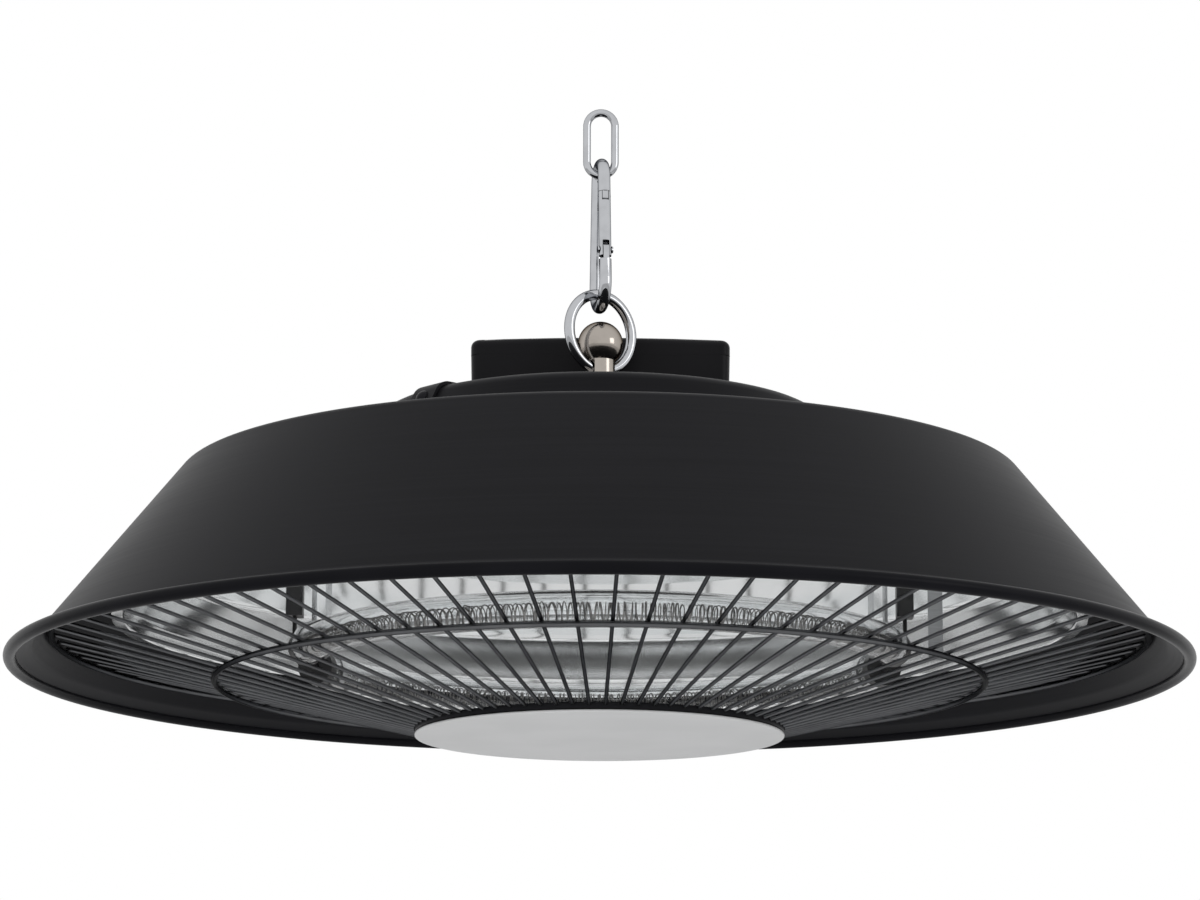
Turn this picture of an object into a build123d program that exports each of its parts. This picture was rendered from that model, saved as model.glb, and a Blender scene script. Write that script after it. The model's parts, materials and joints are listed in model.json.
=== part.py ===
from build123d import *
from math import asin, atan2, cos, degrees, hypot, pi, radians, sin, sqrt, tan
import os

os.makedirs("parts", exist_ok=True)

# Driving dimensions, millimetres. The origin is the point inside the top of the
# chain link where the ceiling hook carries it, +Z up, the control box behind (+Y).
# Heights called "height" or "level" are counted from the plane of the shade's rim.
sheet = 1.0
seat_gap = 0.3
fit_gap = 0.05

# Chain link
link_wire = 4.0
link_inner_width = 10.6
link_inner_length = 30.0

# Snap hook, its plane turned from straight ahead
hook_wire = 6.5
hook_rise = 76.3
hook_bend_radius = 12.0
hook_top_radius = 8.0
hook_turn = 12.0
gate_pivot_rise = 28.0
gate_top_rise = 59.4
hook_tongue = 3.0
rivet_diameter = 2.4
latch_pin_diameter = 1.5
latch_pin_drop = 2.2
spring_wire = 0.45
spring_diameter = 2.8
spring_turns = 6

# Hanging ring, its plane turned from the front
ring_wire = 5.5
ring_mean_radius = 20.0
ring_turn = 37.0

# Ball stud
ball_diameter = 23.4
ball_above_hole = 13.2
neck_diameter = 15.0
cross_hole_clearance = 0.32
stud_hole_height = 26.7
stud_flange_diameter = 26.0
stud_flange_thickness = 3.0
shank_diameter = 10.0
shank_length = 26.0
washer_diameter = 32.0
washer_thickness = 2.5
stud_nut_width = 17.0
stud_nut_height = 8.0

# Top cap and its hanger strap
cap_top_level = 133.0
cap_beyond_box = 0.6
cap_wall_run = 15.5
cap_corner_radius = 8.0
cap_flange_width = 12.0
cap_screw_count = 6
strap_width = 18.0
strap_thickness = 1.8
strap_spacer_gap = 0.3
strap_tab_drop = 13.0

# Shade
shade_shoulder_level = 100.2
shade_shoulder_radius = 213.0
shade_corner_radius = 7.0
rim_flare = 13.3
shade_foot_level = 8.0
rim_radius = 300.0
bead_diameter = 6.6
bead_centre_level = 2.5
shade_opening_radius = 100.0

# Control box
box_width = 136.4
box_depth = 58.0
box_front = 32.0
box_clearance = 5.0
box_base_height = 37.2
box_lid_height = 8.2
box_lid_crown = 1.5
box_wall = 2.2
box_corner = 5.0
box_edge = 4.0
box_draft = 1.4
spacer_diameter = 9.0
board_level_above_floor = 7.0

# Cord inlet
gland_x = -34.0
gland_rise = 20.0
gland_bore = 8.4
gland_thread = 15.2
gland_hex = 22.0

# Reflector and heat shield
reflector_sheet = 0.8
reflector_level = 76.0
reflector_lip_level = 25.0
reflector_lip_radius = 247.0
reflector_edge_radius = 241.0
reflector_flat_beyond_tubes = 15.0
reflector_shoulder_radius = 231.0
reflector_shoulder_drop = 19.0
shield_radius = 170.0
shield_level = 90.0
support_radius = 158.0
support_count = 4
support_screw = 4.0

# Junction block under the cap
junction_spot = (0.0, -66.0)

# Heating tubes
tube_ring_radius = 150.0
tube_level = 9.0
tube_diameter = 18.0
tube_wall = 1.5
tube_span = 150.0
tube_cap_length = 8.0
coil_diameter = 11.0
coil_wire = 1.5
coil_turns = 20
coil_end_room = 14.0
post_beyond_tubes = 5.0
earth_strap_beyond_tubes = 21.0
post_turn = 6.0
post_bottom_level = 27.0
lead_diameter = 1.8

# Wire guard
guard_wire = 2.0
guard_ring_wire = 3.0
guard_wall_gap = 0.58
guard_outer_level = 14.5
guard_middle_radius = 195.0
guard_hub_radius = 93.5
hub_ring_width = 5.5
hub_ring_height = 3.6
guard_wire_count = 74
guard_first_wire = 271.8
guard_clip_count = 4

# Disc cover at the hub
disc_level = -32.0
disc_thickness = 1.5
disc_beyond_hub_ring = 0.1
disc_stud_diameter = 4.0
disc_stud_count = 3

# Levels and planes worked out from the dimensions above
link_bottom_z = -link_inner_length
link_mean_radius = (link_inner_width + link_wire) / 2
hook_top_z = link_bottom_z + seat_gap + hook_wire / 2
hook_bottom_z = hook_top_z - hook_rise
ring_top_z = hook_bottom_z + hook_wire / 2 + seat_gap + ring_wire / 2
ring_centre_z = ring_top_z - ring_mean_radius
# the cross hole is as wide as the ring's bend through the neck needs
ring_bend_in_neck = ring_mean_radius - sqrt(ring_mean_radius**2 - (neck_diameter / 2) ** 2)
cross_hole_diameter = ring_wire + ring_bend_in_neck + 2 * cross_hole_clearance
hole_z = ring_centre_z - ring_mean_radius + ring_bend_in_neck / 2
ball_z = hole_z + ball_above_hole
cap_top_z = hole_z - stud_hole_height
rim_z = cap_top_z - cap_top_level
cap_top_radius = hypot(box_width / 2, box_front + box_depth) + cap_beyond_box
cap_foot_radius = cap_top_radius + cap_wall_run
shade_foot_radius = rim_radius - rim_flare
reflector_flat_radius = tube_ring_radius + reflector_flat_beyond_tubes
post_radius = tube_ring_radius + post_beyond_tubes
strap_radius = tube_ring_radius + earth_strap_beyond_tubes
hub_ring_bottom = disc_level + disc_thickness + fit_gap
guard_hub_level = hub_ring_bottom + hub_ring_height / 2
disc_radius = guard_hub_radius + disc_beyond_hub_ring

# Upright half plane through the axis: x is the radius, y the height over the rim
profile_plane = Plane(origin=(0, 0, rim_z), x_dir=(1, 0, 0), z_dir=(0, -1, 0))


def level(height):
    """Horizontal plane at a height over the rim."""
    return Plane.XY.offset(rim_z + height)


def spoke_plane(angle, height=0.0):
    """Upright plane through the axis at an angle: x outwards, y up."""
    out = Vector(cos(radians(angle)), sin(radians(angle)), 0)
    return Plane(origin=(0, 0, rim_z + height), x_dir=out, z_dir=out.cross(Vector(0, 0, 1)))


def around(radius, angle, height):
    """Point at a radius and angle about the axis, at a height over the rim."""
    turn = radians(angle)
    return Vector(radius * cos(turn), radius * sin(turn), rim_z + height)


made = []


def keep(piece, label):
    """Names a finished piece and puts it on the list to be written."""
    piece.label = label
    made.append(piece)


# Chain link: a welded stadium of round wire, upright in the picture plane
with BuildPart() as chain_link:
    with BuildLine(Plane.XZ) as link_path:
        low = link_bottom_z - link_wire / 2 + link_mean_radius
        high = link_wire / 2 - link_mean_radius
        Line((link_mean_radius, (low + high) / 2), (link_mean_radius, high))
        ThreePointArc(
            (link_mean_radius, high), (0, high + link_mean_radius), (-link_mean_radius, high)
        )
        Line((-link_mean_radius, high), (-link_mean_radius, low))
        ThreePointArc(
            (-link_mean_radius, low), (0, low - link_mean_radius), (link_mean_radius, low)
        )
        Line((link_mean_radius, low), (link_mean_radius, (low + high) / 2))
    with BuildSketch(Plane(origin=link_path.line @ 0, z_dir=link_path.line % 0)):
        Circle(link_wire / 2)
    sweep()
keep(chain_link.part, "chain_link")

# Snap hook: plane with x towards the gate and y up, origin at the bottom bend
gate_way = Vector(sin(radians(hook_turn)), -cos(radians(hook_turn)), 0)
hook_plane = Plane(
    origin=(0, 0, hook_bottom_z), x_dir=gate_way, z_dir=gate_way.cross(Vector(0, 0, 1))
)
gate_play = 0.3
shoulder_rise = gate_pivot_rise - hypot(hook_wire / 2, hook_wire / 2 + gate_play) - 0.5
nose_rise = gate_top_rise + gate_play
tongue_radius = hook_wire / 2
nose_length = 4.6
latch_pin_rise = gate_top_rise - latch_pin_drop

# The hook narrows upwards: its sides lean in between the wide bend and the narrow one
bend = hook_bend_radius
top = hook_rise
side_lean = asin((bend - hook_top_radius) / (top - bend - hook_top_radius))
out_x, out_y = cos(side_lean), sin(side_lean)
foot_x, foot_y = bend * out_x, bend + bend * out_y
head_x, head_y = hook_top_radius * out_x, top - hook_top_radius + hook_top_radius * out_y


def on_gate_side(rise):
    """Point on the hook's gate side at a height along it."""
    run = rise - foot_y
    return (foot_x - out_y * run, foot_y + out_x * run)


# plane along the leaning side, its own x at the side's centre line
side_start = on_gate_side(0)
gate_plane = Plane(
    origin=hook_plane.from_local_coords((side_start[0] - out_x * bend, side_start[1] - out_y * bend)),
    x_dir=gate_way * out_x + Vector(0, 0, out_y),
    z_dir=hook_plane.z_dir,
)

with BuildPart() as snap_hook:
    with BuildLine(hook_plane) as hook_path:
        Line(on_gate_side(shoulder_rise), (foot_x, foot_y))
        ThreePointArc((foot_x, foot_y), (0, 0), (-foot_x, foot_y))
        Line((-foot_x, foot_y), (-head_x, head_y))
        ThreePointArc((-head_x, head_y), (0, top), (head_x, head_y))
        Line((head_x, head_y), on_gate_side(nose_rise))
    with BuildSketch(Plane(origin=hook_path.line @ 0, z_dir=hook_path.line % 0)):
        Circle(hook_wire / 2)
    sweep()
    # flat tongue that the gate turns on
    with BuildSketch(gate_plane):
        with Locations((bend, (shoulder_rise + gate_pivot_rise) / 2)):
            Rectangle(2 * tongue_radius, gate_pivot_rise - shoulder_rise)
        with Locations((bend, gate_pivot_rise)):
            Circle(tongue_radius)
            Circle(rivet_diameter / 2, mode=Mode.SUBTRACT)
    extrude(amount=hook_tongue / 2, both=True)
    # flat nose that the closed gate straddles
    with BuildSketch(gate_plane):
        with Locations((bend, nose_rise - nose_length / 2)):
            RectangleRounded(hook_wire - 1.2, nose_length, 0.8)
        with Locations((bend, nose_rise - 0.6)):
            Rectangle(hook_wire - 1.2, 1.2)
    extrude(amount=hook_tongue / 2, both=True)
    # notch open to the inside, which the gate's latch pin closes into
    notch_radius = latch_pin_diameter / 2 + 0.4
    with BuildSketch(gate_plane):
        with Locations((bend, latch_pin_rise)):
            Circle(notch_radius)
        with Locations((bend - hook_wire / 2, latch_pin_rise)):
            Rectangle(hook_wire, 2 * notch_radius)
    extrude(amount=hook_tongue, both=True, mode=Mode.SUBTRACT)
keep(snap_hook.part, "snap_hook")

slot_width = hook_tongue + 2 * gate_play
gate_bottom_rise = gate_pivot_rise - hook_wire / 2 - gate_play
lower_slot_top = gate_pivot_rise + tongue_radius + 1.2
upper_slot_bottom = nose_rise - nose_length - 0.6
spring_bore = spring_diameter + 0.6
spring_length = 14.0

with BuildPart() as hook_gate:
    gate_base = Plane(
        origin=gate_plane.from_local_coords((bend, gate_bottom_rise)), z_dir=gate_plane.y_dir
    )
    with BuildSketch(gate_base):
        Circle(hook_wire / 2)
    extrude(amount=gate_top_rise - gate_bottom_rise)
    with BuildSketch(gate_plane):
        with Locations((bend, (gate_bottom_rise + lower_slot_top) / 2)):
            Rectangle(hook_wire + 1, lower_slot_top - gate_bottom_rise)
        with Locations((bend, (gate_top_rise + upper_slot_bottom) / 2)):
            Rectangle(hook_wire + 1, gate_top_rise - upper_slot_bottom)
    extrude(amount=slot_width / 2, both=True, mode=Mode.SUBTRACT)
    with BuildSketch(gate_base.offset(lower_slot_top - gate_bottom_rise)):
        Circle(spring_bore / 2)
    extrude(amount=spring_length, mode=Mode.SUBTRACT)
    with BuildSketch(gate_plane):
        with Locations((bend, gate_pivot_rise)):
            Circle(rivet_diameter / 2 + fit_gap)
        with Locations((bend, latch_pin_rise)):
            Circle(latch_pin_diameter / 2 + 0.02)
    extrude(amount=hook_wire, both=True, mode=Mode.SUBTRACT)
keep(hook_gate.part, "hook_gate")

with BuildPart() as latch_pin:
    with BuildSketch(gate_plane):
        with Locations((bend, latch_pin_rise)):
            Circle(latch_pin_diameter / 2)
    extrude(amount=hook_wire / 2, both=True)
keep(latch_pin.part, "latch_pin")

with BuildPart() as gate_rivet:
    rivet_head = 0.7
    rivet_reach = hook_wire / 2 + 0.15
    with BuildSketch(gate_plane):
        with Locations((bend, gate_pivot_rise)):
            Circle(rivet_diameter / 2 - 0.01)
    extrude(amount=rivet_reach, both=True)
    for side in (1, -1):
        with BuildSketch(gate_plane.offset(side * rivet_reach)):
            with Locations((bend, gate_pivot_rise)):
                Circle(1.9)
        extrude(amount=side * rivet_head, taper=20)
keep(gate_rivet.part, "gate_rivet")

with BuildPart() as gate_spring:
    spring_base = gate_base.offset(lower_slot_top - gate_bottom_rise + spring_wire)
    spring_radius = (spring_diameter - spring_wire) / 2
    spring_pitch = (spring_length - 2 * spring_wire) / spring_turns
    with BuildLine() as spring_path:
        Helix(spring_pitch, spring_pitch * spring_turns, spring_radius)
    with BuildSketch(Plane(origin=spring_path.line @ 0, z_dir=spring_path.line % 0)):
        RegularPolygon(spring_wire / 2, 4)
    sweep(is_frenet=True)
keep(gate_spring.part.moved(spring_base.location), "gate_spring")

# Hanging ring: through the snap hook above and the stud's cross hole below
ring_way = Vector(cos(radians(ring_turn)), sin(radians(ring_turn)), 0)
ring_plane = Plane(
    origin=(0, 0, ring_centre_z), x_dir=ring_way, z_dir=ring_way.cross(Vector(0, 0, 1))
)
with BuildPart(ring_plane) as hanging_ring:
    Torus(ring_mean_radius, ring_wire / 2)
keep(hanging_ring.part, "hanging_ring")

# Ball stud: ball, neck with the ring's cross hole, flange and screwed shank
strap_top = cap_top_level + strap_thickness
flange_top = strap_top + stud_flange_thickness
shank_end = strap_top - shank_length
with BuildPart() as ball_stud:
    ball_radius = ball_diameter / 2
    neck_radius = neck_diameter / 2
    ball_level = ball_z - rim_z
    neck_top = ball_level - sqrt(ball_radius**2 - neck_radius**2)
    with BuildSketch(profile_plane):
        with BuildLine():
            Polyline(
                (0, ball_level + ball_radius),
                (0, shank_end),
                (shank_diameter / 2 - 1, shank_end),
                (shank_diameter / 2, shank_end + 1),
                (shank_diameter / 2, strap_top),
                (stud_flange_diameter / 2, strap_top),
                (stud_flange_diameter / 2, flange_top - 0.8),
                (stud_flange_diameter / 2 - 0.8, flange_top),
                (neck_radius, flange_top),
                (neck_radius, neck_top),
            )
            ThreePointArc(
                (neck_radius, neck_top),
                (ball_radius * cos(0.2), ball_level + ball_radius * sin(0.2)),
                (0, ball_level + ball_radius),
            )
        make_face()
    revolve(axis=Axis.Z)
    with Locations(Plane(origin=(0, 0, hole_z), z_dir=ring_way)):
        Cylinder(cross_hole_diameter / 2, neck_diameter * 2, mode=Mode.SUBTRACT)
keep(ball_stud.part, "ball_stud")

with BuildPart() as stud_washer:
    washer_top = cap_top_level - sheet
    with BuildSketch(level(washer_top)):
        Circle(washer_diameter / 2)
        Circle(shank_diameter / 2 + 0.2, mode=Mode.SUBTRACT)
    extrude(amount=-washer_thickness)
keep(stud_washer.part, "stud_washer")

with BuildPart() as stud_nut:
    nut_top = washer_top - washer_thickness
    with BuildSketch(level(nut_top)):
        RegularPolygon(stud_nut_width / 2, 6, major_radius=False)
        Circle(shank_diameter / 2 + 0.02, mode=Mode.SUBTRACT)
    extrude(amount=-stud_nut_height)
keep(stud_nut.part, "stud_nut")

# Top cap: a pressed dish whose flange stands on the shade's shoulder
cap_outline = (
    (0, cap_top_level),
    (cap_top_radius, cap_top_level),
    (cap_foot_radius, shade_shoulder_level + sheet),
    (cap_foot_radius + cap_flange_width, shade_shoulder_level + sheet),
)
cap_screw_radius = cap_foot_radius + cap_flange_width * 0.58
corner_inset = 5.7
box_middle = box_front + box_depth / 2
spacer_spots = [
    (x * (box_width / 2 - corner_inset), box_middle + y * (box_depth / 2 - corner_inset))
    for x in (-1, 1)
    for y in (-1, 1)
]
# the strap passes just behind the front right spacer
near_spot = Vector(*spacer_spots[2])
strap_offset = (strap_width + spacer_diameter) / 2 + strap_spacer_gap
strap_turn = 180 + degrees(atan2(near_spot.Y, near_spot.X) + asin(strap_offset / near_spot.length))
grommet_spot = (18.0, 62.0)
spacer_screw = 3.0
strap_tab_screw = 4.0


def cap_wall_slant():
    """Angle of the cap's wall from the horizontal, in degrees."""
    run = cap_foot_radius - cap_top_radius
    return degrees(atan2(cap_top_level - shade_shoulder_level - sheet, run))


wall_slant = cap_wall_slant()
wall_way = Vector(cos(radians(wall_slant)), -sin(radians(wall_slant)))
tab_start = Vector(cap_top_radius, cap_top_level)
tab_screw_at = tab_start + wall_way * (strap_tab_drop * 0.62)


def tab_screw_plane(turn):
    """Plane square to the cap's wall, at a strap tab's screw, facing out."""
    upright = spoke_plane(turn)
    spot = upright.from_local_coords((tab_screw_at.X, tab_screw_at.Y))
    out = upright.x_dir * sin(radians(wall_slant)) + Vector(0, 0, 1) * cos(radians(wall_slant))
    return Plane(origin=spot, z_dir=out)


with BuildPart() as top_cap:
    with BuildSketch(profile_plane):
        with BuildLine():
            FilletPolyline(*cap_outline, radius=(cap_corner_radius, 3.0))
            offset(amount=sheet, side=Side.RIGHT)
        make_face()
    revolve(axis=Axis.Z)
    with Locations(level(cap_top_level)):
        Hole(shank_diameter / 2 + 0.2)
    with BuildSketch(level(cap_top_level + 1)):
        with Locations(*spacer_spots):
            Circle(spacer_screw / 2 + 0.1)
        with Locations(grommet_spot):
            Circle(6.0)
    extrude(amount=-sheet - 2, mode=Mode.SUBTRACT)
    with BuildSketch(level(shade_shoulder_level - 1)):
        with PolarLocations(cap_screw_radius, cap_screw_count):
            Circle(1.6)
    extrude(amount=sheet + 2, mode=Mode.SUBTRACT)
    for turn in (strap_turn, strap_turn + 180):
        with Locations(tab_screw_plane(turn)):
            Cylinder(strap_tab_screw / 2 + 0.1, 8, mode=Mode.SUBTRACT)
keep(top_cap.part, "top_cap")

# Hanger strap: spreads the stud's load over the cap, its ends bent down the wall
with BuildPart() as hanger_strap:
    tab_end = tab_start + wall_way * strap_tab_drop
    with BuildSketch(spoke_plane(strap_turn)):
        with BuildLine():
            FilletPolyline(
                (-tab_end.X, tab_end.Y),
                (-cap_top_radius, cap_top_level),
                (cap_top_radius, cap_top_level),
                (tab_end.X, tab_end.Y),
                radius=cap_corner_radius,
            )
            offset(amount=strap_thickness, side=Side.LEFT)
        make_face()
    extrude(amount=strap_width / 2, both=True)
    with Locations(level(strap_top)):
        Hole(shank_diameter / 2 + 0.2)
    for turn in (strap_turn, strap_turn + 180):
        with Locations(tab_screw_plane(turn)):
            Cylinder(strap_tab_screw / 2 + 0.1, 8, mode=Mode.SUBTRACT)
keep(hanger_strap.part, "hanger_strap")


def dome_screw(shank, reach, head, rise):
    """Dome headed screw, head up, its seat on the XY plane at the origin."""
    edge = rise * 0.25
    dome_radius = ((head / 2) ** 2 + (rise - edge) ** 2) / (2 * (rise - edge))
    half_way = asin(head / 2 / dome_radius) / 2
    dome_middle = (dome_radius * sin(half_way), rise - dome_radius * (1 - cos(half_way)))
    with BuildPart(mode=Mode.PRIVATE) as screw:
        with BuildSketch(Plane.XZ):
            with BuildLine():
                Polyline(
                    (0, rise),
                    (0, -reach),
                    (shank / 2, -reach),
                    (shank / 2, 0),
                    (head / 2, 0),
                    (head / 2, edge),
                )
                ThreePointArc((head / 2, edge), dome_middle, (0, rise))
            make_face()
        revolve(axis=Axis.Z)
    return screw.part


strap_screw = dome_screw(strap_tab_screw - 0.2, 9.0, 7.5, 2.4)
with BuildPart() as strap_screws:
    for turn in (strap_turn, strap_turn + 180):
        with Locations(tab_screw_plane(turn).offset(strap_thickness)):
            add(strap_screw)
keep(strap_screws.part, "strap_screws")

flange_screw = dome_screw(3.0, 6.0, 6.0, 1.8)
with BuildPart() as cap_screws:
    with Locations(level(shade_shoulder_level + sheet)):
        with PolarLocations(cap_screw_radius, cap_screw_count):
            add(flange_screw)
keep(cap_screws.part, "cap_screws")

# Shade: spun steel, shoulder, slanting wall, turned-out foot and beaded rim
bead_radius = bead_diameter / 2
bead_centre = (rim_radius - bead_radius, bead_centre_level)
with BuildPart() as shade:
    with BuildSketch(profile_plane):
        with BuildLine():
            FilletPolyline(
                (shade_opening_radius, shade_shoulder_level),
                (shade_shoulder_radius, shade_shoulder_level),
                (shade_foot_radius, shade_foot_level),
                bead_centre,
                radius=(shade_corner_radius, 5.0),
            )
            offset(amount=sheet, side=Side.RIGHT)
        make_face()
        with Locations(bead_centre):
            Circle(bead_radius)
    revolve(axis=Axis.Z)
    with BuildSketch(level(shade_shoulder_level + 1)):
        with PolarLocations(cap_screw_radius, cap_screw_count):
            Circle(1.6)
        with PolarLocations(support_radius, support_count, start_angle=45):
            Circle(support_screw / 2 + 0.2)
    extrude(amount=-sheet - 2, mode=Mode.SUBTRACT)
keep(shade.part, "shade")

wall_run = (shade_foot_radius - shade_shoulder_radius) / (shade_shoulder_level - shade_foot_level)
wall_lean = degrees(atan2(1, wall_run))


def shade_inside(height):
    """Radius of the shade's wall on its inner face at a height over the rim."""
    outer = shade_shoulder_radius + (shade_shoulder_level - height) * wall_run
    return outer - sheet / sin(radians(wall_lean))


# Reflector: polished dish with a lip, hung under the shoulder
reflector_outline = (
    (shank_diameter, reflector_level),
    (reflector_flat_radius, reflector_level),
    (reflector_shoulder_radius, reflector_level - reflector_shoulder_drop),
    (reflector_edge_radius - 3.5, reflector_lip_level + 8.0),
    (reflector_edge_radius, reflector_lip_level),
    (reflector_lip_radius, reflector_lip_level),
)
with BuildPart() as reflector:
    with BuildSketch(profile_plane):
        with BuildLine():
            FilletPolyline(*reflector_outline, radius=(14.0, 6.0, 5.0, 1.5))
            offset(amount=reflector_sheet, side=Side.LEFT)
        make_face()
    revolve(axis=Axis.Z)
    with BuildSketch(level(reflector_level - 1)):
        with PolarLocations(support_radius, support_count, start_angle=45):
            Circle(support_screw / 2 + 0.2)
    extrude(amount=3, mode=Mode.SUBTRACT)
keep(reflector.part, "reflector")

reflector_back = reflector_level + reflector_sheet
with BuildPart() as reflector_spacers:
    with BuildSketch(level(reflector_back)):
        with PolarLocations(support_radius, support_count, start_angle=45):
            Circle(5.0)
            Circle(support_screw / 2 + 0.2, mode=Mode.SUBTRACT)
    extrude(amount=shield_level - reflector_back)
keep(reflector_spacers.part, "reflector_spacers")

# Heat shield: flat plate between the hot dish and the cap, with a stiffening step
with BuildPart() as heat_shield:
    with BuildSketch(profile_plane):
        with BuildLine():
            FilletPolyline(
                (16.0, shield_level + 5),
                (90.0, shield_level + 5),
                (98.0, shield_level),
                (shield_radius, shield_level),
                radius=4.0,
            )
            offset(amount=sheet, side=Side.LEFT)
        make_face()
    revolve(axis=Axis.Z)
    with BuildSketch(level(shield_level - 1)):
        with PolarLocations(support_radius, support_count, start_angle=45):
            Circle(support_screw / 2 + 0.2)
    extrude(amount=sheet + 2, mode=Mode.SUBTRACT)
keep(heat_shield.part, "heat_shield")

shield_back = shield_level + sheet
shoulder_inside = shade_shoulder_level - sheet
with BuildPart() as shield_spacers:
    with BuildSketch(level(shield_back)):
        with PolarLocations(support_radius, support_count, start_angle=45):
            Circle(5.0)
            Circle(support_screw / 2 + 0.2, mode=Mode.SUBTRACT)
    extrude(amount=shoulder_inside - shield_back)
keep(shield_spacers.part, "shield_spacers")

support_nut_height = 3.2
with BuildPart() as reflector_screws:
    screw_top = shade_shoulder_level + support_nut_height + 1.5
    with BuildSketch(level(reflector_level)):
        with PolarLocations(support_radius, support_count, start_angle=45):
            Circle(support_screw / 2)
    extrude(amount=screw_top - reflector_level)
    with BuildSketch(level(reflector_level)):
        with PolarLocations(support_radius, support_count, start_angle=45):
            Circle(3.8)
    extrude(amount=-2.2, taper=18)
keep(reflector_screws.part, "reflector_screws")

with BuildPart() as reflector_nuts:
    with BuildSketch(level(shade_shoulder_level)):
        with PolarLocations(support_radius, support_count, start_angle=45):
            RegularPolygon(3.5, 6, major_radius=False)
            Circle(support_screw / 2 + 0.02, mode=Mode.SUBTRACT)
    extrude(amount=support_nut_height)
keep(reflector_nuts.part, "reflector_nuts")

# Control box on four spacers over the cap
box_floor_level = cap_top_level + box_clearance
box_split_level = box_floor_level + box_base_height
foot_shrink = 2 * box_base_height * tan(radians(box_draft))
lid_screw = 3.0
lid_screw_reach = 12.0
lid_screw_head = 4.8
lid_recess = 1.8

with BuildPart() as box_spacers:
    with BuildSketch(level(cap_top_level)):
        with Locations(*spacer_spots):
            Circle(spacer_diameter / 2)
            Circle(spacer_screw / 2 + 0.1, mode=Mode.SUBTRACT)
    extrude(amount=box_clearance)
keep(box_spacers.part, "box_spacers")

with BuildPart() as spacer_screws:
    spacer_screw_top = box_floor_level + box_wall + 2.6
    with BuildSketch(level(cap_top_level - sheet)):
        with Locations(*spacer_spots):
            Circle(spacer_screw / 2)
    extrude(amount=spacer_screw_top - cap_top_level + sheet)
    with BuildSketch(level(cap_top_level - sheet)):
        with Locations(*spacer_spots):
            Circle(2.9)
    extrude(amount=-1.8, taper=15)
keep(spacer_screws.part, "spacer_screws")

with BuildPart() as box_base:
    with BuildSketch(level(box_floor_level)):
        with Locations((0, box_middle)):
            RectangleRounded(box_width - foot_shrink, box_depth - foot_shrink, box_corner)
    extrude(amount=box_base_height, taper=-box_draft)
    with BuildSketch(level(box_floor_level + box_wall)):
        with Locations((0, box_middle)):
            inside_shrink = foot_shrink + 2 * box_wall * (1 - tan(radians(box_draft)))
            RectangleRounded(
                box_width - inside_shrink, box_depth - inside_shrink, box_corner - box_wall
            )
    extrude(amount=box_base_height - box_wall, taper=-box_draft, mode=Mode.SUBTRACT)
    # corner pillars that take the screws from above and below, and posts for the board
    with BuildSketch(level(box_floor_level + box_wall)):
        with Locations(*spacer_spots):
            Circle(3.6)
    extrude(amount=box_base_height - box_wall)
    with BuildSketch(level(box_floor_level + box_wall)):
        with Locations((0, box_middle)):
            with GridLocations(72.0, 30.0, 2, 2):
                Circle(3.2)
    extrude(amount=board_level_above_floor - box_wall)
    with BuildSketch(level(box_floor_level - 1)):
        with Locations(*spacer_spots):
            Circle(spacer_screw / 2 + 0.1)
        with Locations(grommet_spot):
            Circle(6.0)
    extrude(amount=box_wall + 5, mode=Mode.SUBTRACT)
    with BuildSketch(level(box_split_level)):
        with Locations(*spacer_spots):
            Circle(lid_screw / 2 + 0.02)
    extrude(amount=-lid_screw_reach, mode=Mode.SUBTRACT)
    with Locations(
        Plane(
            origin=(gland_x, box_front + box_depth, rim_z + box_floor_level + gland_rise),
            z_dir=(0, 1, 0),
        )
    ):
        Cylinder(gland_thread / 2 + 0.15, 12, mode=Mode.SUBTRACT)
keep(box_base.part, "box_base")

with BuildPart() as box_lid:
    half = box_width / 2
    lid_front = Plane(
        origin=(0, box_front, rim_z + box_split_level), x_dir=(1, 0, 0), z_dir=(0, -1, 0)
    )
    with BuildSketch(lid_front):
        with BuildLine():
            Polyline((half, box_lid_height), (half, 0), (-half, 0), (-half, box_lid_height))
            ThreePointArc(
                (-half, box_lid_height),
                (0, box_lid_height + box_lid_crown),
                (half, box_lid_height),
            )
        make_face()
    extrude(amount=-box_depth)
    fillet(box_lid.edges().filter_by(Axis.Z), radius=box_corner)
    top_edges = box_lid.faces().sort_by(Axis.Z)[-1].edges()
    fillet(top_edges, radius=box_edge)
    with BuildSketch(level(box_split_level)):
        with Locations((0, box_middle)):
            RectangleRounded(
                box_width - 2 * box_wall, box_depth - 2 * box_wall, box_corner - box_wall
            )
    extrude(amount=box_lid_height - box_wall, mode=Mode.SUBTRACT)
    # lip that locates the lid inside the base, cut away round the pillars
    inset = box_wall + 0.25
    slim = inset + 1.2
    with BuildSketch(level(box_split_level - 1.8)):
        with Locations((0, box_middle)):
            RectangleRounded(box_width - 2 * inset, box_depth - 2 * inset, box_corner - inset)
            RectangleRounded(
                box_width - 2 * slim, box_depth - 2 * slim, box_corner - slim, mode=Mode.SUBTRACT
            )
        with Locations(*spacer_spots):
            Circle(5.2, mode=Mode.SUBTRACT)
    extrude(amount=1.8 + box_lid_height - box_wall)
    with BuildSketch(level(box_split_level)):
        with Locations(*spacer_spots):
            Circle(3.6)
    extrude(amount=box_lid_height - box_wall)
    with BuildSketch(level(box_split_level)):
        with Locations(*spacer_spots):
            Circle(lid_screw / 2 + 0.1)
    extrude(amount=box_lid_height + box_lid_crown, mode=Mode.SUBTRACT)
    with BuildSketch(level(box_split_level + box_lid_height - lid_recess)):
        with Locations(*spacer_spots):
            Circle(lid_screw_head / 2 + 0.2)
    extrude(amount=lid_recess + box_lid_crown, mode=Mode.SUBTRACT)
keep(box_lid.part, "box_lid")

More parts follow.
